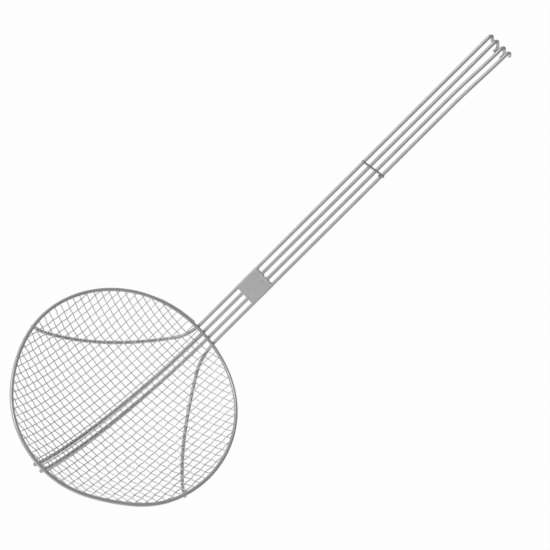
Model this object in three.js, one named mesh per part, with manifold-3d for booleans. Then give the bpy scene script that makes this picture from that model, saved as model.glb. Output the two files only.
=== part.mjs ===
// A frying strainer: a dish of woven wire cloth in a wire rim, carried by the four long wires of its handle.
// Millimetres and degrees, +Z up. The rim lies level and the handle rises towards +X.

import * as THREE from "three";
import { mergeVertices } from "three/addons/utils/BufferGeometryUtils.js";
import Module from "manifold-3d";

// Rim and dish
const rimDiameter = 200; // to the middle of the rim wire
const rimWire = 3.2;
const lapStart = 28; // where the rim wire's outer end leaves the ring, turning from the handle
const lapJoggle = 5; // over which it comes to lie beside the ring
const lapEnd = 8.5; // where it is cut off
const lapDrop = 27; // how far below level it lies beside the ring
const bowlDepth = 45.5; // from the rim's middle down to the sphere that passes through it

// Wire cloth of the dish
const clothWires = 33; // each way
const clothWire = 0.9;
const clothEdge = 9.5; // along the dish, from the rim to the outermost wires
const clothSkew = 4.8; // how far pressing pulled the cross wires out of square
const clothShift = 2; // how far the cloth lies off the middle of the bowl, both ways
const weaveSlope = 1.6; // over 1, so that a wire stays up or down a little way past each crossing

// The four wires of the handle and their braces under the dish
const handleWire = 3.3;
const handlePitch = 7.1; // between neighbouring wires
const handleAngle = 49; // rise over the rim's plane
const handleOffset = -2.8; // from the dish's middle plane to the handle's
const handleLength = 366.5; // from the rim to where the hooks start
const leftBraceRadius = 24; // of the turn at the rim, where the left outer wire becomes a brace
const rightBraceRadius = 37; // and the right one, which is bent less sharply
const braceAzimuth = 104.5; // where a brace reaches the rim, turning from the handle
const braceStub = 0.4; // wire past the rim at the end of a brace
const endStub = 1.5; // and at the end of an inner wire

// Hooks at the end of the handle
const hookRadius = 3; // of both its bends
const hookTurn = 107; // of the first bend, and the second takes it back along the handle
const hookDrop = 5; // straight run between the bends
const hookTail = 2.5;
const hookLean = 25; // sideways from straight down

// Sheet band near the bowl and wire tie half-way up
const bandPlace = 64; // from the rim to the band's middle
const bandLength = 26;
const bandSheet = 0.4;
const bandSeam = 0.8; // slit at the back, where the sheet's edges meet
const tiePlace = 216.8; // from the rim
const tieWire = 2;
const tieTurns = 1.2; // round each outer wire
const tieGap = 1.2; // between neighbouring turns

const clearance = 0.3; // between pieces that touch

// Facets
const wireSides = 8;
const clothSides = 3;
const rimSteps = 72;
const lapSteps = 8;
const lapEase = 0.2; // share of the joggle that the lap has behind it where it leaves the ring
const runStep = 12; // along curved runs of the wires
const bendStep = 18; // degrees along bends
const foldSteps = 8; // round each side of the band

// Sizes that follow from those above
const { sin, cos, tan, asin, acos, atan2, sqrt, abs, round, ceil, PI } = Math;
const radians = THREE.MathUtils.degToRad;
const rimRadius = rimDiameter / 2;
const sphereRadius = (rimRadius ** 2 + bowlDepth ** 2) / (2 * bowlDepth);
const sphereCentre = new THREE.Vector3(0, 0, sphereRadius - bowlDepth);
const rimLatitude = asin(rimRadius / sphereRadius);
const runSag = runStep ** 2 / (8 * sphereRadius); // how far a straight step cuts inside the curve
const supportRadius = sphereRadius + rimWire / 2 + clearance + handleWire / 2 + runSag;
// Three-sided cloth wires have the area of the round wire, with a corner up and a flat below.
const clothCorner = clothWire * sqrt(PI / (3 * sqrt(3)));
const clothFlat = clothCorner / 2;
const weave = (clothCorner + clothFlat + clearance) / 2;
const clothRadius = supportRadius - runSag - handleWire / 2 - clearance - weave - clothFlat;
const clothReach = clothRadius * sin(rimLatitude - (rimWire / 2 + clearance + clothCorner) / clothRadius);
const clothPitch = (2 * (clothRadius * rimLatitude - clothEdge)) / (clothWires - 1);
const rise = radians(handleAngle);
const lean = radians(hookLean);

const steel = (color, roughness) => new THREE.MeshStandardMaterial({ color, roughness, metalness: 1 });
const rimSteel = steel(0x9c9c9c, 0.3);
const clothSteel = steel(0xa8a8a8, 0.35);
const wireSteel = steel(0x9a9a9a, 0.3);
const bandSteel = steel(0xa5a5a5, 0.45);

function named(name, geometry, material) {
  const mesh = new THREE.Mesh(geometry, material);
  mesh.name = name;
  return mesh;
}

// A wire of one section along a chain of points, mitred at each point and cut square at both ends.
function wireAlong(points, radius, sides, up) {
  const runs = points.slice(1).map((point, k) => point.clone().sub(points[k]).normalize());
  const side = new THREE.Vector3().crossVectors(up, runs[0]).normalize();
  const top = new THREE.Vector3().crossVectors(runs[0], side);
  let ring = Array.from({ length: sides }, (_, k) => {
    const turn = (2 * PI * k) / sides;
    const corner = points[0].clone().addScaledVector(top, radius * cos(turn));
    return corner.addScaledVector(side, radius * sin(turn));
  });
  const corners = [...ring];
  for (let k = 1; k < points.length; k++) {
    const along = runs[k - 1];
    const mitre = along.clone().add(runs[k] ?? along);
    ring = ring.map((corner) => {
      const ahead = points[k].clone().sub(corner).dot(mitre) / along.dot(mitre);
      return corner.clone().addScaledVector(along, ahead);
    });
    corners.push(...ring);
  }
  const faces = [];
  const last = corners.length - sides;
  for (let k = 0; k < last; k += sides) {
    for (let a = 0; a < sides; a++) {
      const b = (a + 1) % sides;
      faces.push(k + a, k + sides + a, k + b, k + b, k + sides + a, k + sides + b);
    }
  }
  for (let a = 1; a < sides - 1; a++) {
    faces.push(0, a, a + 1, last, last + a + 1, last + a);
  }
  const geometry = new THREE.BufferGeometry().setFromPoints(corners);
  geometry.setIndex(faces);
  geometry.computeVertexNormals();
  return geometry;
}

// The point of a sphere round the dish's centre under a place in plan.
function under(x, y, radius) {
  return new THREE.Vector3(x, y, sphereCentre.z - sqrt(radius ** 2 - x ** 2 - y ** 2));
}

// Wire cloth

// Wires keep their pitch along the dish, so in plan they close up towards the rim.
const clothPlace = (count) => clothRadius * sin((count * clothPitch - clothShift) / clothRadius);
const clothCount = (place) => (clothRadius * asin(place / clothRadius) + clothShift) / clothPitch;
const skew = tan(radians(clothSkew));
const crossingX = (long, cross) => clothPlace(cross) - clothPlace(long) * skew;

// Up at one crossing and down at the next.
function overUnder(count) {
  const fromUp = abs(count - 2 * round(count / 2));
  return weave * THREE.MathUtils.clamp(weaveSlope * (1 - 2 * fromUp), -1, 1);
}

function wovenPoint(long, cross, lift) {
  const onDish = under(crossingX(long, cross), clothPlace(long), clothRadius);
  return onDish.lerp(sphereCentre, lift / clothRadius);
}

// The counts where a wire bends: each crossing between its ends that isn't too near to them.
function bendCounts(from, to) {
  const margin = clothWire / 3 / clothPitch;
  const counts = [from];
  for (let count = ceil(from + margin); count < to - margin; count++) {
    counts.push(count);
  }
  return [...counts, to];
}

// A wire along the handle's direction. It stops just short of the rim.
function longWire(long) {
  const y = clothPlace(long);
  const half = sqrt(clothReach ** 2 - y ** 2);
  const ends = [-half, half].map((x) => clothCount(x + y * skew));
  const points = bendCounts(...ends).map((cross) => wovenPoint(long, cross, overUnder(long + cross)));
  return wireAlong(points, clothCorner, clothSides, sphereCentre.clone().sub(points[0]));
}

// A wire across the handle's direction. Its ends run into the rim, which carries it.
function crossWire(cross) {
  const x = clothPlace(cross);
  const bend = 1 + skew ** 2;
  const reach = clothRadius * sin(rimLatitude);
  const half = sqrt(reach ** 2 * bend - x ** 2);
  const ends = [-half, half].map((root) => clothCount((x * skew + root) / bend));
  const points = bendCounts(...ends).map((long) => wovenPoint(long, cross, -overUnder(long + cross)));
  return wireAlong(points, clothCorner, clothSides, sphereCentre.clone().sub(points[0]));
}

const wasm = await Module();
wasm.setup();

function solid(geometry) {
  const bare = geometry.clone();
  bare.deleteAttribute("normal");
  bare.deleteAttribute("uv");
  const merged = mergeVertices(bare, 1e-4);
  const vertProperties = new Float32Array(merged.attributes.position.array);
  const triVerts = new Uint32Array(merged.index.array);
  return new wasm.Manifold(new wasm.Mesh({ numProp: 3, vertProperties, triVerts }));
}

function joined(geometries) {
  const [first, ...others] = geometries.map(solid);
  const { vertProperties, triVerts } = others.reduce((sum, other) => sum.add(other), first).getMesh();
  const geometry = new THREE.BufferGeometry();
  geometry.setAttribute("position", new THREE.BufferAttribute(vertProperties, 3));
  geometry.setIndex(new THREE.BufferAttribute(triVerts, 1));
  geometry.computeVertexNormals();
  return geometry;
}

// The end of the rim wire, which leaves the ring and lies beside it.
function rimLap() {
  const drop = radians(lapDrop);
  const points = Array.from({ length: lapSteps + 1 }, (_, k) => {
    const turn = THREE.MathUtils.lerp(lapStart, lapEnd, k / lapSteps);
    const aside = rimWire * THREE.MathUtils.smoothstep((lapStart - turn) / lapJoggle, -lapEase, 1);
    const radius = rimRadius + aside * cos(drop);
    return new THREE.Vector3(radius * cos(radians(turn)), radius * sin(radians(turn)), -aside * sin(drop));
  });
  return wireAlong(points, rimWire / 2, wireSides, new THREE.Vector3(0, 0, 1));
}

// The rim ring with the cross wires that are welded into it.
function rimAndCrossWires(counts) {
  const ring = new THREE.TorusGeometry(rimRadius, rimWire / 2, wireSides, rimSteps);
  return joined([ring, rimLap(), ...counts.map(crossWire)]);
}

// Handle wires

// The handle's plane touches the support sphere where that is as steep as the handle, just before the rim.
const touchToRim = sphereRadius * sin(rimLatitude - rise);
const handle = new THREE.Group();
handle.rotation.y = -rise;
handle.position.set(touchToRim, handleOffset, -supportRadius).applyEuler(handle.rotation).add(sphereCentre);
handle.updateMatrixWorld();

const onHandle = (along, y, above = 0) => handle.localToWorld(new THREE.Vector3(along, y, above));

const polar = (angle, length) => new THREE.Vector2(cos(angle), sin(angle)).multiplyScalar(length);

// A hook's points, from the end of its wire's straight run to its tail: down, a short drop, and back.
function hookPoints(y) {
  const bends = [
    { from: 0, to: radians(hookTurn), run: hookDrop },
    { from: radians(hookTurn), to: PI, run: hookTail },
  ];
  const points = [new THREE.Vector2(handleLength, 0)]; // along the handle, and down
  for (const { from, to, run } of bends) {
    const middle = points.at(-1).clone().add(polar(from + PI / 2, hookRadius));
    const steps = ceil((to - from) / radians(bendStep));
    for (let k = 1; k <= steps; k++) {
      const heading = THREE.MathUtils.lerp(from, to, k / steps);
      points.push(middle.clone().add(polar(heading - PI / 2, hookRadius)));
    }
    points.push(points.at(-1).clone().add(polar(to, run)));
  }
  return points.map(({ x, y: down }) => onHandle(x, y - down * sin(lean), -down * cos(lean)));
}

// Points under the dish along a chain of places in plan, after the first, close enough to follow the sphere.
function underRun(places) {
  const points = [];
  for (let k = 1; k < places.length; k++) {
    const steps = ceil(places[k].distanceTo(places[k - 1]) / runStep);
    for (let step = 1; step <= steps; step++) {
      const place = places[k - 1].clone().lerp(places[k], step / steps);
      points.push(under(place.x, place.y, supportRadius));
    }
  }
  return points;
}

// A wire from its hook down the handle, and under the dish through places in plan.
function handleWireTo(y, places) {
  const touch = new THREE.Vector2(supportRadius * sin(rise), y + handleOffset);
  const points = [...hookPoints(y).reverse(), onHandle(-touchToRim, y), ...underRun([touch, ...places])];
  return wireAlong(points, handleWire / 2, wireSides, new THREE.Vector3(0, 1, 0));
}

// How far from the middle in plan a wire under the dish ends, with a stub past the rim.
const endReach = (stub) => supportRadius * sin(rimLatitude + stub / supportRadius);

// An inner wire runs straight on under the dish to the far rim.
function innerWire(side) {
  const y = (side * handlePitch) / 2;
  const planY = y + handleOffset;
  return handleWireTo(y, [new THREE.Vector2(-sqrt(endReach(endStub) ** 2 - planY ** 2), planY)]);
}

// An outer wire turns aside under the dish and braces it out to the rim.
function outerWire(side, radius) {
  const y = handlePitch * 1.5;
  const outY = y + side * handleOffset; // in plan, counted outwards
  const start = supportRadius * sin(rise);
  const end = polar(radians(braceAzimuth), endReach(braceStub));
  // The turn goes on until the straight rest of the brace points at its end.
  const toEnd = new THREE.Vector2(end.x - start, end.y - outY - radius);
  const turn = atan2(toEnd.x, toEnd.y) + acos(-radius / toEnd.length());
  const steps = ceil(turn / radians(bendStep / 2));
  const bend = Array.from({ length: steps + 1 }, (_, k) => {
    const part = (turn * k) / steps;
    return new THREE.Vector2(start - radius * sin(part), outY + radius * (1 - cos(part)));
  });
  const places = [...bend, end].map((place) => new THREE.Vector2(place.x, side * place.y));
  return handleWireTo(side * y, places);
}

// Band and tie, in the handle's own frame: X along it, Y across, Z above its plane

// A sheet folded round the four wires, with its edges meeting at the back.
function bandGeometry() {
  const flat = 1.5 * handlePitch;
  const inner = handleWire / 2 + clearance;
  const outer = inner + bandSheet;
  const slit = bandSeam / 2;
  const fold = new THREE.Shape();
  fold.moveTo(slit, -outer);
  fold.absarc(flat, 0, outer, -PI / 2, PI / 2, false);
  fold.absarc(-flat, 0, outer, PI / 2, (3 * PI) / 2, false);
  fold.lineTo(-slit, -outer);
  fold.lineTo(-slit, -inner);
  fold.absarc(-flat, 0, inner, (3 * PI) / 2, PI / 2, true);
  fold.absarc(flat, 0, inner, PI / 2, -PI / 2, true);
  fold.lineTo(slit, -inner);
  fold.closePath();
  const settings = { depth: bandLength, bevelEnabled: false, curveSegments: foldSteps };
  const geometry = new THREE.ExtrudeGeometry(fold, settings);
  const across = new THREE.Vector3(0, 1, 0);
  const above = new THREE.Vector3(0, 0, 1);
  const along = new THREE.Vector3(1, 0, 0);
  geometry.applyMatrix4(new THREE.Matrix4().makeBasis(across, above, along));
  return geometry;
}

// A wire over the handle, wound round the outer wire on each side.
function tieGeometry() {
  const flat = 1.5 * handlePitch;
  const radius = handleWire / 2 + clearance + tieWire / 2;
  const lead = tieWire + tieGap;
  const steps = ceil((360 * tieTurns) / (1.5 * bendStep));
  const winding = (side) =>
    Array.from({ length: steps + 1 }, (_, k) => {
      const turns = (tieTurns * k) / steps;
      const angle = 2 * PI * turns;
      return new THREE.Vector3(side * lead * turns, side * (flat + radius * sin(angle)), radius * cos(angle));
    });
  const points = [...winding(-1).reverse(), ...winding(1)];
  return wireAlong(points, tieWire / 2, wireSides, new THREE.Vector3(1, 0, 0));
}

// Assembly

// The cloth's wires are counted from its middle one, the same way in both directions.
const counts = Array.from({ length: clothWires }, (_, k) => k - (clothWires - 1) / 2);
const part = new THREE.Group();
part.add(named("rim_and_cross_wires", rimAndCrossWires(counts), rimSteel));
counts.forEach((long, k) => {
  part.add(named(`long_wire_${String(k + 1).padStart(2, "0")}`, longWire(long), clothSteel));
});
part.add(named("outer_wire_left", outerWire(1, leftBraceRadius), wireSteel));
part.add(named("inner_wire_left", innerWire(1), wireSteel));
part.add(named("inner_wire_right", innerWire(-1), wireSteel));
part.add(named("outer_wire_right", outerWire(-1, rightBraceRadius), wireSteel));

const band = named("handle_band", bandGeometry(), bandSteel);
band.position.x = bandPlace - bandLength / 2;
const tie = named("cross_tie", tieGeometry(), wireSteel);
tie.position.x = tiePlace;
handle.add(band, tie);
part.add(handle);

// The origin is half-way along the whole tool, in its middle plane and level with its lowest point.
part.updateMatrixWorld(true);
const box = new THREE.Box3().setFromObject(part, true);
part.position.set(-(box.min.x + box.max.x) / 2, 0, -box.min.z);

export default part;
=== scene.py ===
# A frying strainer: a dish of woven steel wire cloth in a wire rim, on a handle of four long wires
# with hooked ends. Metres, +Z up. The rim lies level and the handle rises towards +X.

from math import acos, asin, atan2, ceil, cos, degrees, exp, pi, radians, sin, sqrt, tan

import bpy
from mathutils import Matrix, Vector


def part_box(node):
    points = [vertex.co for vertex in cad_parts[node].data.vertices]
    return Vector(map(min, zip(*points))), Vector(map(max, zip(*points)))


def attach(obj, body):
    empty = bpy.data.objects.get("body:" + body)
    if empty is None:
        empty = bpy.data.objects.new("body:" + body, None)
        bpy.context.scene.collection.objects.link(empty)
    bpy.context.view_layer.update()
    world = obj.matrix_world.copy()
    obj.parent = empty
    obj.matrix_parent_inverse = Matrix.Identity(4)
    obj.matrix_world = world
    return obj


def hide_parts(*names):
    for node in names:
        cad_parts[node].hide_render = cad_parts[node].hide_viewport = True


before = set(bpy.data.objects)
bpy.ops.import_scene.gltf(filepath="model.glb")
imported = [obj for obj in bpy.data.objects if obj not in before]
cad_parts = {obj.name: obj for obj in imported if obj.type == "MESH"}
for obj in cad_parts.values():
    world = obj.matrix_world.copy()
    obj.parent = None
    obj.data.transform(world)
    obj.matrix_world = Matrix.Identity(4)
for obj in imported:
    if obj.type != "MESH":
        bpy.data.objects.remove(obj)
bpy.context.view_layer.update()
bpy.ops.object.select_all(action="DESELECT")

MM = 0.001

# Rim and dish
RIM_RADIUS = 100 * MM  # to the middle of the rim wire
RIM_WIRE = 3.2 * MM
LAP_END = 7  # degrees from the handle, where the rim wire's outer end is cut off
LAP_START = 34  # where that end has come in to the circle, and is welded to the inner one
LAP_JOGGLE = 7  # over which it comes in
LAP_WELD = 2  # length of the weld
LAP_DROP_START, LAP_DROP_END = 52, 35  # how far below level it lies beside the ring
BOWL_DEPTH = 45.5 * MM

# How the bent rim lies off its circle
SPREAD = 1.4 * MM  # outwards, where nothing holds it in
SETTLE = 2.7 * MM  # down along the handle, where it is welded to that
SETTLE_MIDDLE, SETTLE_WIDTH = -5, 40  # degrees
DENTS = ((126, 28, 3.2 * MM), (-142, 19, 3.0 * MM))  # middle and width in degrees, and depth
BEND_FADE = 4  # power of the distance from the middle by which the bends grow towards the rim

# Wire cloth of the dish
CLOTH_WIRES = 33
CLOTH_WIRE = 0.95 * MM
CLOTH_EDGE = 9.5 * MM  # along the dish, from the rim to the outermost wires
CLOTH_SKEW = 4.8  # degrees that pressing pulled the cross wires out of square
CLOTH_SHIFT = 2 * MM  # off the middle of the bowl, both ways

# The four wires of the handle, their braces and their hooks
HANDLE_WIRE = 3.3 * MM
HANDLE_PITCH = 7.1 * MM
HANDLE_ANGLE = 49
HANDLE_OFFSET = -3.4 * MM  # from the dish's middle plane to the handle, at the rim
HANDLE_DRIFT = 1.2 * MM  # how much less that is at the hooks, and at the far rim
PINCH = 0.07  # share by which the wires lie closer at the hooks than at the rim
SPLAY = 1.6 * MM  # of the right pair of wires away from the left pair, at the hooks
SPLAY_RUN = 60 * MM
HANDLE_LENGTH = 366.5 * MM  # from the rim to where the hooks start
BRACE_EARLY = 6 * MM  # along the handle before the rim, where the outer wires start to turn aside
BRACE_RADIUS_LEFT, BRACE_RADIUS_RIGHT = 36 * MM, 50 * MM
BRACE_AZIMUTH = 104.5
BRACE_STUB = -2.2 * MM  # along the dish past the rim's middle, or short of it as here
END_STUB = -0.6 * MM  # the same, of the inner wires
WELD_SINK = 1.6 * MM  # of the wires' ends into the rim
WELD_RUN = 10 * MM  # over which they come up to it
HOOK_RADIUS = 3 * MM
HOOK_TURN = 107  # of the first bend, and the second takes it back along the handle
HOOK_DROP = 5 * MM  # straight run between the bends
HOOK_TAIL = 2.5 * MM
HOOK_LEAN = 25  # sideways from straight down
HOOK_CUT_LEFT, HOOK_CUT_RIGHT = 4.5 * MM, 2.5 * MM  # drop of the outer wires, which end there

# Sheet band and wire tie
BAND_PLACE = 64 * MM
BAND_LENGTH = 26 * MM
BAND_SHEET = 0.4 * MM
BAND_SQUEEZE = 0.3 * MM  # by which it is narrower than the outer wires' middles
BAND_SEAM = 0.8 * MM
DENT_INSET = 3 * MM  # of the four press marks, from the band's ends
DENT_RADIUS = 2.2 * MM
DENT_DEPTH = 0.2 * MM
TIE_PLACE = 216.8 * MM
TIE_WIRE = 2 * MM
TIE_TURNS_LEFT, TIE_TURNS_RIGHT = 0.12, 1.05  # round the outer wires
TIE_LEAD = 2.4 * MM
TIE_BITE = 0.9 * MM  # by which its welds sink it into the wires
TIE_SLANT = 9  # degrees out of square with the handle

# Fineness
RUN_STEP = 3 * MM  # along curved runs
RIM_STEP = 1.5  # degrees along the rim
BEND_STEP = 6  # degrees along bends
TIE_STEP = 12  # degrees along the tie's windings
CROSSING_STEPS = 6  # along a cloth wire, from one crossing to the next
WIRE_SIDES = 16  # round the rim and the handle's wires
TIE_SIDES = 14
CLOTH_SIDES = 8
BAND_STEPS_ALONG, BAND_STEPS_ROUND = 112, 160
MERGE = 0.001 * MM
SMOOTH_ANGLE = 50

# Finishes
WIRE_CLOUD = 14 * MM  # width of the clouds on the wires
WIRE_GRIT = 0.6 * MM  # die lines are finer, so they are drawn this coarse to show
SHEET_CLOUD = 7 * MM
SHEET_STREAK = 1.2 * MM  # width of the rolling streaks, coarser than real ones so that they show
STREAK_SQUASH = 0.12  # of the pattern along the streaks

# Floor and light
FLOOR_SIZE = 20.0
FLOOR_DROP = 0.2 * MM  # below the object's lowest point
FLOOR_GLOW = 0.97  # share of even white in what the camera and the metal see of the floor
BRIGHT_SIDE = Vector((-0.7, 0.5, 0.2))
BRIGHT_SPAN = (-0.9, 0.8)  # cosines to the bright side between which the room lightens
ROOM_DIM, ROOM_BRIGHT = 0.22, 0.95
CEILING = Vector((-0.4, 0, 0.92))
CEILING_SPAN = (0.78, 0.95)  # cosines to the ceiling between which it darkens
CEILING_SHARE = 0.4  # of the room's light that comes from the dark ceiling over the camera
KEY_PLACE = Vector((-0.7, 1.4, 1.65))  # of the softbox, from the rim's middle
KEY_AIM = Vector((0.1, 0, 0))
KEY_SIZE = 1.0
KEY_RADIANCE = 1.8

# Camera, from the rim's middle
CAMERA_PLACE = Vector((-358.4, -95.3, 711.8)) * MM
CAMERA_AIM = Vector((207.45, -0.8, 0)) * MM
CAMERA_ROLL = 39.1
CAMERA_LENS = 59.08  # millimetres
CAMERA_SENSOR = 36  # millimetres

# Sizes that follow from those above
SPHERE_RADIUS = (RIM_RADIUS**2 + BOWL_DEPTH**2) / (2 * BOWL_DEPTH)
SPHERE_MIDDLE = Vector((0, 0, SPHERE_RADIUS - BOWL_DEPTH))
RIM_LATITUDE = asin(RIM_RADIUS / SPHERE_RADIUS)
SUPPORT_RADIUS = SPHERE_RADIUS + RIM_WIRE / 2 + HANDLE_WIRE / 2
CLOTH_RADIUS = SUPPORT_RADIUS - HANDLE_WIRE / 2 - CLOTH_WIRE
CLOTH_REACH = CLOTH_RADIUS * sin(RIM_LATITUDE)
CLOTH_PITCH = 2 * (CLOTH_RADIUS * RIM_LATITUDE - CLOTH_EDGE) / (CLOTH_WIRES - 1)
SKEW = tan(radians(CLOTH_SKEW))
INNER_Y = HANDLE_PITCH / 2
OUTER_Y = HANDLE_PITCH * 1.5
RISE = radians(HANDLE_ANGLE)
LEAN = radians(HOOK_LEAN)
TOUCH_TO_RIM = SPHERE_RADIUS * sin(RIM_LATITUDE - RISE)
ALONG = Vector((cos(RISE), 0, sin(RISE)))
ABOVE = Vector((-sin(RISE), 0, cos(RISE)))
HANDLE_START = SPHERE_MIDDLE + ALONG * TOUCH_TO_RIM - ABOVE * SUPPORT_RADIUS
HANDLE_START += Vector((0, HANDLE_OFFSET, 0))
FIRST_BEND = (0, radians(HOOK_TURN))  # headings before and after it
SECOND_BEND = (radians(HOOK_TURN), pi)

# The rim's place in the frame, from its far side and its top
rim_low, rim_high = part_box("rim_and_cross_wires")
RIM_MIDDLE = Vector((rim_low.x + RIM_RADIUS + RIM_WIRE / 2, 0, rim_high.z - RIM_WIRE / 2))


def linear(code):
    """An sRGB hex colour as linear RGBA."""
    parts = [int(code[k : k + 2], 16) / 255 for k in (1, 3, 5)]
    return [p / 12.92 if p <= 0.04045 else ((p + 0.055) / 1.055) ** 2.4 for p in parts] + [1]


# Materials


def add_node(tree, kind, inputs=(), **settings):
    """A node with its settings, its input values and its links."""
    node = tree.nodes.new(kind)
    for name, value in settings.items():
        setattr(node, name, value)
    for socket, value in dict(inputs).items():
        if isinstance(value, bpy.types.NodeSocket):
            tree.links.new(value, node.inputs[socket])
        else:
            node.inputs[socket].default_value = value
    return node


def new_material(name):
    material = bpy.data.materials.new(name)
    material.use_nodes = True
    material.node_tree.nodes.clear()
    return material, material.node_tree


def bare_steel(tree, tone, tone_span, colours, grain, roughness, play, relief):
    """Steel whose colour follows the tone, and whose gloss and relief follow the grain."""
    colour = add_node(tree, "ShaderNodeValToRGB", {"Fac": tone})
    for stop, position, code in zip(colour.color_ramp.elements, tone_span, colours):
        stop.position = position
        stop.color = linear(code)
    satin = add_node(
        tree,
        "ShaderNodeMapRange",
        {"Value": grain, "To Min": roughness - play, "To Max": roughness + play},
    )
    strength, depth = relief
    skin = add_node(tree, "ShaderNodeBump", {"Height": grain, "Strength": strength, "Distance": depth})
    shader = add_node(
        tree,
        "ShaderNodeBsdfPrincipled",
        {
            "Base Color": colour.outputs["Color"],
            "Metallic": 1.0,
            "Roughness": satin.outputs["Result"],
            "Normal": skin.outputs["Normal"],
        },
    )
    add_node(tree, "ShaderNodeOutputMaterial", {"Surface": shader.outputs["BSDF"]})


def drawn_steel_wire(name, dark, light, roughness):
    """Bright drawn stainless wire: grey and satin, and a little cloudy."""
    material, tree = new_material(name)
    place = add_node(tree, "ShaderNodeTexCoord").outputs["Object"]
    cloud = add_node(tree, "ShaderNodeTexNoise", {"Vector": place, "Scale": 1 / WIRE_CLOUD, "Detail": 4})
    grit = add_node(tree, "ShaderNodeTexNoise", {"Vector": place, "Scale": 1 / WIRE_GRIT, "Detail": 3})
    bare_steel(
        tree,
        tone=cloud.outputs["Fac"],
        tone_span=(0.3, 0.7),
        colours=(dark, light),
        grain=grit.outputs["Fac"],
        roughness=roughness,
        play=0.05,
        relief=(0.15, 0.02 * MM),
    )
    return material


def rolled_steel_sheet(name, dark, light, roughness):
    """Cold rolled stainless sheet: flat grey and matt, with faint rolling streaks along the handle."""
    material, tree = new_material(name)
    place = add_node(tree, "ShaderNodeTexCoord").outputs["Object"]
    turned = add_node(
        tree,
        "ShaderNodeMapping",
        {"Vector": place, "Rotation": (0, RISE, 0), "Scale": (STREAK_SQUASH, 1, 1)},
    )
    streak = add_node(
        tree,
        "ShaderNodeTexNoise",
        {"Vector": turned.outputs["Vector"], "Scale": 1 / SHEET_STREAK, "Detail": 5},
    )
    cloud = add_node(tree, "ShaderNodeTexNoise", {"Vector": place, "Scale": 1 / SHEET_CLOUD, "Detail": 3})
    both = add_node(
        tree,
        "ShaderNodeMix",
        {"Factor": 0.5, "A": streak.outputs["Fac"], "B": cloud.outputs["Fac"]},
    )
    bare_steel(
        tree,
        tone=both.outputs["Result"],
        tone_span=(0.35, 0.65),
        colours=(dark, light),
        grain=streak.outputs["Fac"],
        roughness=roughness,
        play=0.06,
        relief=(0.2, 0.03 * MM),
    )
    return material


# The rim, the cloth and the handle are one drawn stainless steel. The rim's and the handle's greys are
# painted darker than the cloth's, as painted shade for how dark those wires look in this room's light.
rim_steel_painted_shade = drawn_steel_wire("rim drawn stainless steel wire", "#b2b2b2", "#bcbcbc", 0.25)
# The cloth's grey is painted lighter than the rim's and the handle's, as painted light that makes up for
# the dark ceiling over its wires.
cloth_steel_painted_light = drawn_steel_wire("cloth drawn stainless steel wire", "#d4d4d4", "#dedede", 0.25)
handle_steel_painted_shade = drawn_steel_wire("handle drawn stainless steel wire", "#b6b6b6", "#c0c0c0", 0.32)
tie_steel = drawn_steel_wire("tie annealed steel wire", "#989898", "#a4a4a4", 0.4)
band_steel = rolled_steel_sheet("band cold rolled stainless steel sheet", "#b9b9b9", "#c1c1c1", 0.42)


# Making wires


def wire(name, runs, thickness, sides, material):
    """A round wire along each chain of points, as one mesh with square closed ends."""
    curve = bpy.data.curves.new(name, "CURVE")
    curve.dimensions = "3D"
    for points in runs:
        spline = curve.splines.new("POLY")
        spline.points.add(len(points) - 1)
        for knot, point in zip(spline.points, points):
            knot.co = (*(RIM_MIDDLE + point), 1)
    curve.bevel_depth = thickness / 2
    curve.bevel_resolution = (sides - 4) // 2  # four sides, and two more for each step
    curve.use_fill_caps = True
    piece = bpy.data.objects.new(name, curve)
    bpy.context.scene.collection.objects.link(piece)
    finish_mesh(piece, material)
    return piece


def finish_mesh(piece, material):
    """Makes a mesh of the piece, closes it, turns its faces out and smooths it."""
    bpy.ops.object.select_all(action="DESELECT")
    piece.select_set(True)
    bpy.context.view_layer.objects.active = piece
    bpy.ops.object.convert(target="MESH")
    bpy.ops.object.mode_set(mode="EDIT")
    bpy.ops.mesh.select_all(action="SELECT")
    bpy.ops.mesh.remove_doubles(threshold=MERGE)
    bpy.ops.mesh.normals_make_consistent(inside=False)
    bpy.ops.object.mode_set(mode="OBJECT")
    bpy.ops.object.shade_smooth_by_angle(angle=radians(SMOOTH_ANGLE))
    piece.data.materials.append(material)
    piece.select_set(False)


def carry(piece, slot, *nodes):
    """The piece rides on the one body and stands for its nodes."""
    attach(piece, "root")
    if nodes:
        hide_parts(*nodes)


def spaced(start, end, step):
    """Even values from start to end, no more than a step apart."""
    count = max(1, ceil(abs(end - start) / step))
    return [start + (end - start) * k / count for k in range(count + 1)]


def smooth(value):
    """0 up to 0, 1 from 1 on, and an even rise between."""
    value = min(max(value, 0), 1)
    return value * value * (3 - 2 * value)


def polar(angle, length):
    return Vector((cos(angle), sin(angle))) * length


def under(x, y, radius):
    """The point of a sphere round the dish's middle, below a place in plan."""
    return Vector((x, y, SPHERE_MIDDLE.z - sqrt(radius**2 - x**2 - y**2)))


def bell(angle, middle, width):
    """1 at the middle and falling off on both sides, for angles in degrees."""
    apart = (angle - middle + 180) % 360 - 180
    return exp(-((apart / width) ** 2))


def settled(point):
    """Where a point of the round dish lies on the bent one. The bottom keeps its place."""
    out = Vector((point.x, point.y, 0))
    share = (out.length / RIM_RADIUS) ** BEND_FADE
    angle = degrees(atan2(out.y, out.x))
    held = bell(angle, SETTLE_MIDDLE, SETTLE_WIDTH)
    aside = SPREAD * (1 - held) - sum(depth * bell(angle, *place) for *place, depth in DENTS)
    return point + share * (aside * out.normalized() - held * SETTLE * ALONG)


# Rim: one wire, from its cut outer end once round to its inner end


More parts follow.
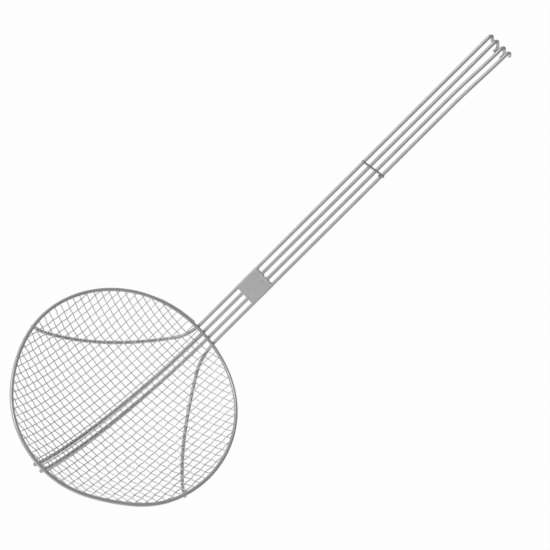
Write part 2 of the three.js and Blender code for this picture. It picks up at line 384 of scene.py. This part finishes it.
def rim_points():
    points = []
    for angle in spaced(LAP_END, 360 + LAP_START - LAP_WELD, RIM_STEP):
        aside = RIM_WIRE * smooth((LAP_START - angle) / LAP_JOGGLE)
        start_share = (angle - LAP_END) / (LAP_START - LAP_END)
        drop = radians(LAP_DROP_END + (LAP_DROP_START - LAP_DROP_END) * start_share)
        radius = RIM_RADIUS + aside * cos(drop)
        turn = radians(angle)
        points.append(settled(Vector((radius * cos(turn), radius * sin(turn), -aside * sin(drop)))))
    return points


rim = wire("rim_ring", [rim_points()], RIM_WIRE, WIRE_SIDES, rim_steel_painted_shade)
carry(rim, "rim_wire", "rim_and_cross_wires")


# Wire cloth: a plain weave, pressed to the dish


def cloth_place(count):
    """Where in plan a wire lies that is so many pitches from the middle one."""
    return CLOTH_RADIUS * sin((count * CLOTH_PITCH - CLOTH_SHIFT) / CLOTH_RADIUS)


def cloth_count(place):
    """The other way round: how many pitches from the middle wire a place in plan is."""
    return (CLOTH_RADIUS * asin(place / CLOTH_RADIUS) + CLOTH_SHIFT) / CLOTH_PITCH


def woven_point(long, cross, over):
    """A point of the cloth. Over is 1 for a wire along the handle's direction and -1 for one across it."""
    y = cloth_place(long)
    on_dish = under(cloth_place(cross) - y * SKEW, y, CLOTH_RADIUS)
    lift = over * CLOTH_WIRE / 2 * cos(pi * (long + cross))
    return settled(on_dish.lerp(SPHERE_MIDDLE, lift / CLOTH_RADIUS))


def long_wire_points(long):
    """A wire along the handle's direction, from rim to rim."""
    y = cloth_place(long)
    half = sqrt(CLOTH_REACH**2 - y**2)
    start, end = (cloth_count(x + y * SKEW) for x in (-half, half))
    return [woven_point(long, cross, 1) for cross in spaced(start, end, 1 / CROSSING_STEPS)]


def cross_wire_points(cross):
    """A wire across, from rim to rim: askew in plan, and cut off where it meets the rim's circle."""
    x = cloth_place(cross)
    stretch = 1 + SKEW**2
    half = sqrt(CLOTH_REACH**2 * stretch - x**2)
    start, end = (cloth_count((x * SKEW + root) / stretch) for root in (-half, half))
    return [woven_point(long, cross, -1) for long in spaced(start, end, 1 / CROSSING_STEPS)]


counts = [k - (CLOTH_WIRES - 1) / 2 for k in range(CLOTH_WIRES)]
for number, long in enumerate(counts, 1):
    node_name = f"long_wire_{number:02d}"
    piece = wire(f"cloth_{node_name}", [long_wire_points(long)], CLOTH_WIRE, CLOTH_SIDES, cloth_steel_painted_light)
    carry(piece, "cloth_wire", node_name)
cross_runs = [cross_wire_points(cross) for cross in counts]
cross_wires = wire("cloth_cross_wires", cross_runs, CLOTH_WIRE, CLOTH_SIDES, cloth_steel_painted_light)
carry(cross_wires, "cloth_wire")


# Handle wires


def on_handle(along, y, above=0.0):
    """A point from its place along the handle, across it and above its wires' middles."""
    aside = y + (HANDLE_DRIFT - PINCH * y) * along / HANDLE_LENGTH
    if y < 0:
        aside -= SPLAY * smooth((along - HANDLE_LENGTH + SPLAY_RUN) / SPLAY_RUN)
    return HANDLE_START + ALONG * along + Vector((0, aside, 0)) + ABOVE * above


def hook_points(y, bends):
    """From the end of a wire's straight run to the hook's end: each bend, and the run after it."""
    points = [Vector((HANDLE_LENGTH, 0))]  # along the handle, and down
    for start, end, run in bends:
        middle = points[-1] + polar(start + pi / 2, HOOK_RADIUS)
        headings = spaced(start, end, radians(BEND_STEP))[1:]
        points += [middle + polar(heading - pi / 2, HOOK_RADIUS) for heading in headings]
        points.append(points[-1] + polar(end, run))
    return [
        on_handle(along, y, -down * cos(LEAN)) - Vector((0, down * sin(LEAN), 0))
        for along, down in points
    ]


def under_run(places):
    """Points under the dish through places in plan, after the first, up to the weld at the rim."""
    run = []
    for before, after in zip(places, places[1:]):
        steps = spaced(0, (after - before).length, RUN_STEP)[1:]
        run += [before.lerp(after, step / steps[-1]) for step in steps]
    points = []
    for place in run:
        sunk = WELD_SINK * smooth(1 - (run[-1] - place).length / WELD_RUN)
        points.append(settled(under(place.x, place.y, SUPPORT_RADIUS - sunk)))
    return points


def handle_wire_points(y, hook, early, places):
    """From the hook down the handle until early before the rim, and on through places in plan."""
    splay = [on_handle(HANDLE_LENGTH - back, y) for back in spaced(0, SPLAY_RUN, RUN_STEP)[1:]]
    start = Vector((SUPPORT_RADIUS * sin(RISE) + early * cos(RISE), y + HANDLE_OFFSET))
    at_rim = on_handle(early - TOUCH_TO_RIM, y)
    return [*reversed(hook_points(y, hook)), *splay, at_rim, *under_run([start, *places])]


def end_reach(stub):
    """How far from the middle in plan a wire under the dish ends, with a stub past the rim."""
    return SUPPORT_RADIUS * sin(RIM_LATITUDE + stub / SUPPORT_RADIUS)


def inner_wire_points(side):
    y = side * INNER_Y
    end_y = y + HANDLE_OFFSET + HANDLE_DRIFT
    end = Vector((-sqrt(end_reach(END_STUB) ** 2 - end_y**2), end_y))
    hook = [(*FIRST_BEND, HOOK_DROP), (*SECOND_BEND, HOOK_TAIL)]
    return handle_wire_points(y, hook, 0, [end])


def outer_wire_points(side):
    """A wire that turns aside on an arc, and runs straight from that to its end at the rim."""
    radius = BRACE_RADIUS_LEFT if side > 0 else BRACE_RADIUS_RIGHT
    drop = HOOK_CUT_LEFT if side > 0 else HOOK_CUT_RIGHT
    out_y = OUTER_Y + side * HANDLE_OFFSET  # in plan, counted outwards
    start = SUPPORT_RADIUS * sin(RISE) + BRACE_EARLY * cos(RISE)
    end = polar(radians(BRACE_AZIMUTH), end_reach(BRACE_STUB))
    to_end = Vector((end.x - start, end.y - out_y - radius))
    turn = atan2(to_end.x, to_end.y) + acos(-radius / to_end.length)
    places = [
        Vector((start - radius * sin(part), out_y + radius * (1 - cos(part))))
        for part in spaced(0, turn, radians(BEND_STEP))[1:]
    ]
    places = [Vector((place.x, side * place.y)) for place in [*places, end]]
    return handle_wire_points(side * OUTER_Y, [(*FIRST_BEND, drop)], BRACE_EARLY, places)


for side, word in ((1, "left"), (-1, "right")):
    for make, which in ((outer_wire_points, "outer"), (inner_wire_points, "inner")):
        name = f"{which}_wire_{word}"
        piece = wire(f"handle_{name}", [make(side)], HANDLE_WIRE, WIRE_SIDES, handle_steel_painted_shade)
        carry(piece, "handle_wire", name)


# Tie: over the inner wires, wound round the right outer wire and welded flat on the left one


def tie_points():
    radius = (HANDLE_WIRE + TIE_WIRE) / 2 - TIE_BITE

    def winding(side):
        points = []
        for turns in spaced(0, TIE_TURNS_LEFT if side > 0 else TIE_TURNS_RIGHT, TIE_STEP / 360):
            angle = 2 * pi * turns
            across = side * (OUTER_Y + radius * sin(angle))
            along = TIE_PLACE + side * TIE_LEAD * turns - across * tan(radians(TIE_SLANT))
            points.append(on_handle(along, across, radius * cos(angle)))
        return points

    return [*reversed(winding(-1)), *winding(1)]


tie = wire("handle_cross_tie", [tie_points()], TIE_WIRE, TIE_SIDES, tie_steel)
carry(tie, "handle_wire", "cross_tie")


# Band: a sheet blank folded round the four wires, with its edges meeting at the back


def band_sheet():
    middle = HANDLE_WIRE / 2 + BAND_SHEET / 2  # of the sheet, from the wires' middles
    flat = OUTER_Y - BAND_SQUEEZE
    half = 2 * flat + pi * middle - BAND_SEAM / 2
    bpy.ops.mesh.primitive_grid_add(
        x_subdivisions=BAND_STEPS_ALONG, y_subdivisions=BAND_STEPS_ROUND, size=2
    )
    piece = bpy.context.object
    piece.name = "handle_band_sheet"
    marks = [(along, y) for along in (DENT_INSET, BAND_LENGTH - DENT_INSET) for y in (-INNER_Y, INNER_Y)]
    for vertex in piece.data.vertices:
        along = (vertex.co.x + 1) / 2 * BAND_LENGTH
        girth = vertex.co.y * half
        side = 1 if girth > 0 else -1
        past = abs(girth) - flat
        turn = min(max(past / middle, 0), pi)
        y = side * (min(abs(girth), flat) + middle * sin(turn) - max(past - pi * middle, 0))
        above = middle * cos(turn)
        if past < 0:
            near = max(1 - (Vector((along, y)) - Vector(mark)).length / DENT_RADIUS for mark in marks)
            above -= DENT_DEPTH * smooth(near)
        vertex.co = RIM_MIDDLE + on_handle(BAND_PLACE - BAND_LENGTH / 2 + along, y, above)
    thick = piece.modifiers.new("sheet", "SOLIDIFY")
    thick.thickness = BAND_SHEET
    thick.offset = 0
    bpy.ops.object.modifier_apply(modifier=thick.name)
    finish_mesh(piece, band_steel)
    return piece


band = band_sheet()
carry(band, "band_sheet", "handle_band")


# Floor, light and camera


def white_floor():
    """Plain white board. What the camera and the metal see of it is nearly even, with a faint shadow."""
    material, tree = new_material("matt white board")
    path = add_node(tree, "ShaderNodeLightPath")
    seen = path.outputs["Is Camera Ray"]
    for ray in ("Is Glossy Ray", "Is Transmission Ray"):
        either = add_node(tree, "ShaderNodeMath", {0: seen, 1: path.outputs[ray]}, operation="MAXIMUM")
        seen = either.outputs["Value"]
    share = add_node(tree, "ShaderNodeMath", {0: seen, 1: FLOOR_GLOW}, operation="MULTIPLY")
    board = add_node(tree, "ShaderNodeBsdfDiffuse", {"Color": linear("#fafafa")})
    glow = add_node(tree, "ShaderNodeEmission", {"Color": linear("#ffffff"), "Strength": 1.0})
    mix = add_node(
        tree,
        "ShaderNodeMixShader",
        {"Fac": share.outputs["Value"], 1: board.outputs["BSDF"], 2: glow.outputs["Emission"]},
    )
    add_node(tree, "ShaderNodeOutputMaterial", {"Surface": mix.outputs["Shader"]})
    return material


bpy.ops.mesh.primitive_plane_add(size=FLOOR_SIZE, location=(0, 0, -FLOOR_DROP))
floor = bpy.context.object
floor.name = "floor"
floor.data.materials.append(white_floor())


def studio_world():
    """White room light that falls off from the bright side of the room, with a dark ceiling."""
    world = bpy.data.worlds.new("studio")
    world.use_nodes = True
    tree = world.node_tree
    tree.nodes.clear()
    ray = add_node(tree, "ShaderNodeTexCoord").outputs["Generated"]

    def towards(direction, span, at_low, at_high):
        """A level that changes over a span of cosines to the direction."""
        near = add_node(
            tree, "ShaderNodeVectorMath", {0: ray, 1: direction.normalized()}, operation="DOT_PRODUCT"
        )
        low, high = span
        ends = {"From Min": low, "From Max": high, "To Min": at_low, "To Max": at_high}
        level = add_node(tree, "ShaderNodeMapRange", {"Value": near.outputs["Value"], **ends})
        return level.outputs["Result"]

    walls = towards(BRIGHT_SIDE, BRIGHT_SPAN, ROOM_DIM, ROOM_BRIGHT)
    ceiling = towards(CEILING, CEILING_SPAN, 1, CEILING_SHARE)
    level = add_node(tree, "ShaderNodeMath", {0: walls, 1: ceiling}, operation="MULTIPLY")
    room = add_node(
        tree, "ShaderNodeBackground", {"Color": linear("#ffffff"), "Strength": level.outputs["Value"]}
    )
    add_node(tree, "ShaderNodeOutputWorld", {"Surface": room.outputs["Background"]})
    return world


bpy.context.scene.world = studio_world()

bpy.ops.object.light_add(type="AREA", location=RIM_MIDDLE + KEY_PLACE)
key = bpy.context.object
key.name = "key softbox"
key.data.shape = "SQUARE"
key.data.size = KEY_SIZE
key.data.energy = KEY_RADIANCE * pi * KEY_SIZE**2
key.rotation_euler = (KEY_AIM - KEY_PLACE).to_track_quat("-Z", "Y").to_euler()

bpy.ops.object.camera_add()
camera = bpy.context.object
camera.data.sensor_width = CAMERA_SENSOR
camera.data.lens = CAMERA_LENS
view = (CAMERA_AIM - CAMERA_PLACE).to_track_quat("-Z", "Y").to_matrix()
view = view @ Matrix.Rotation(radians(CAMERA_ROLL), 3, "Z")
camera.location = RIM_MIDDLE + CAMERA_PLACE
camera.rotation_euler = view.to_euler()
bpy.context.scene.camera = camera
bpy.context.scene.view_settings.view_transform = "Standard"
